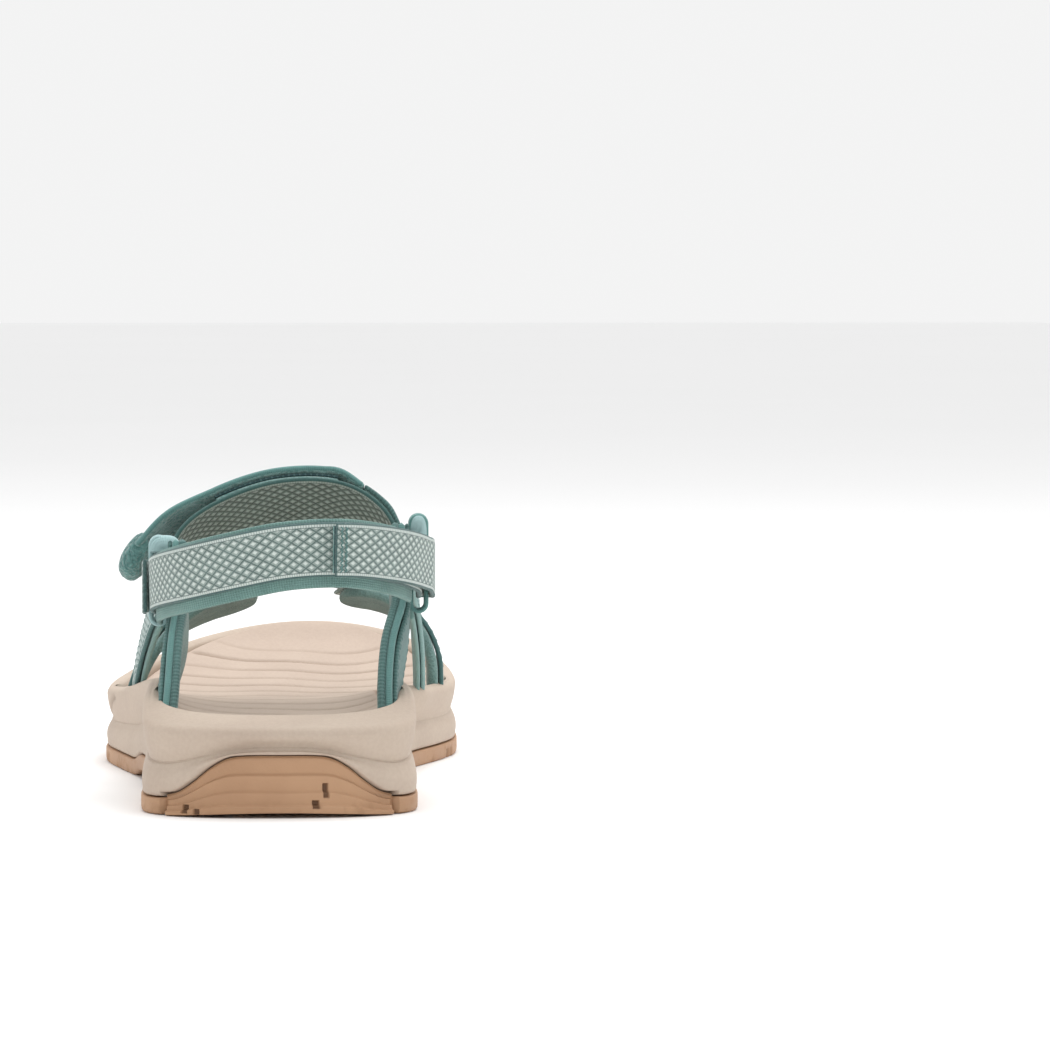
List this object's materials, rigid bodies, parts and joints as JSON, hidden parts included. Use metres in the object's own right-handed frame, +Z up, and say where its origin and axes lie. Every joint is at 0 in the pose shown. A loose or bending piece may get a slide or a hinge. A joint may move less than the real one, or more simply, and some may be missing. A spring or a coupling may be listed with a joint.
{
  "type": "strappy sport sandal",
  "caption": "Left-foot sport sandal with a moulded foam and rubber sole, patterned webbing straps over toe, instep and heel, and hook-and-loop flaps.",
  "frame": {"origin": "middle of the sandal's outline seen from above, on the ground", "axes": "+Y from heel to toe, +X towards the inner (medial) side of a left foot, +Z up"},
  "size_m": [0.107, 0.2636, 0.0927],
  "materials": {
    "tread_rubber": "peach-tan moulded rubber, satin",
    "midsole_foam": "beige moulded EVA foam, matt skin",
    "footbed_foam": "pale peach-beige soft EVA with moulded contour lines",
    "board": "pressed fibre lasting board",
    "nylon": "dark glass-filled nylon",
    "patterned_webbing": "woven polyester webbing, white and grey-green diamond pattern",
    "teal_webbing": "ribbed teal woven webbing",
    "light_webbing": "light teal woven webbing",
    "lining": "grey-green brushed lining over soft padding",
    "tape": "light blue-teal smooth binding tape",
    "loop_pile": "fuzzy teal loop pile",
    "hook_tape": "dark teal hook tape"
  },
  "bodies": {
    "sole_and_quarters": {"outsole": "tread_rubber", "midsole": "midsole_foam", "footbed": "footbed_foam", "lasting_board": "board", "shank": "nylon", "lateral_rear_quarter_webbing": "teal_webbing", "medial_rear_quarter_webbing": "teal_webbing", "lateral_rear_quarter_pad": "lining", "medial_rear_quarter_pad": "lining", "lateral_front_quarter_webbing": "patterned_webbing", "medial_front_quarter_webbing": "light_webbing", "lateral_front_quarter_lining": "lining", "medial_front_quarter_lining": "lining", "lateral_ankle_ring": "tape", "medial_ankle_ring": "tape", "lateral_vamp_webbing": "patterned_webbing", "medial_vamp_webbing": "patterned_webbing", "lateral_vamp_pad": "lining", "medial_vamp_pad": "lining", "vamp_loop_patch": "loop_pile", "instep_webbing": "patterned_webbing", "instep_loop_patch": "loop_pile"},
    "heel_strap": {"heel_webbing": "patterned_webbing", "heel_lining": "teal_webbing", "heel_loop_patch": "loop_pile"},
    "heel_flap": {"heel_flap": "patterned_webbing", "heel_hook_patch": "hook_tape"},
    "instep_flap": {"instep_flap": "loop_pile", "instep_pull_tab": "loop_pile", "instep_hook_patch": "hook_tape"},
    "vamp_flap": {"vamp_flap": "patterned_webbing", "vamp_hook_patch": "hook_tape"}
  },
  "joints": [
    {"name": "heel_strap_swing", "type": "hinge", "parent": "sole_and_quarters", "child": "heel_strap", "pos_m": [-0.00106, -0.0664, 0.061], "axis": [1, 0, 0], "range_deg": [-20, 12]},
    {"name": "heel_flap_peel", "type": "hinge", "parent": "heel_strap", "child": "heel_flap", "pos_m": [0.04314, -0.0614, 0.063], "axis": [0, 0, 1], "range_deg": [0, 100]},
    {"name": "instep_flap_peel", "type": "hinge", "parent": "sole_and_quarters", "child": "instep_flap", "pos_m": [0.02247, -0.03677, 0.08098], "axis": [-0.124, 0.7471, -0.6531], "range_deg": [0, 130]},
    {"name": "vamp_flap_peel", "type": "hinge", "parent": "sole_and_quarters", "child": "vamp_flap", "pos_m": [0.03178, 0.04545, 0.05206], "axis": [-0.266, 0.9549, -0.132], "range_deg": [0, 120]}
  ]
}
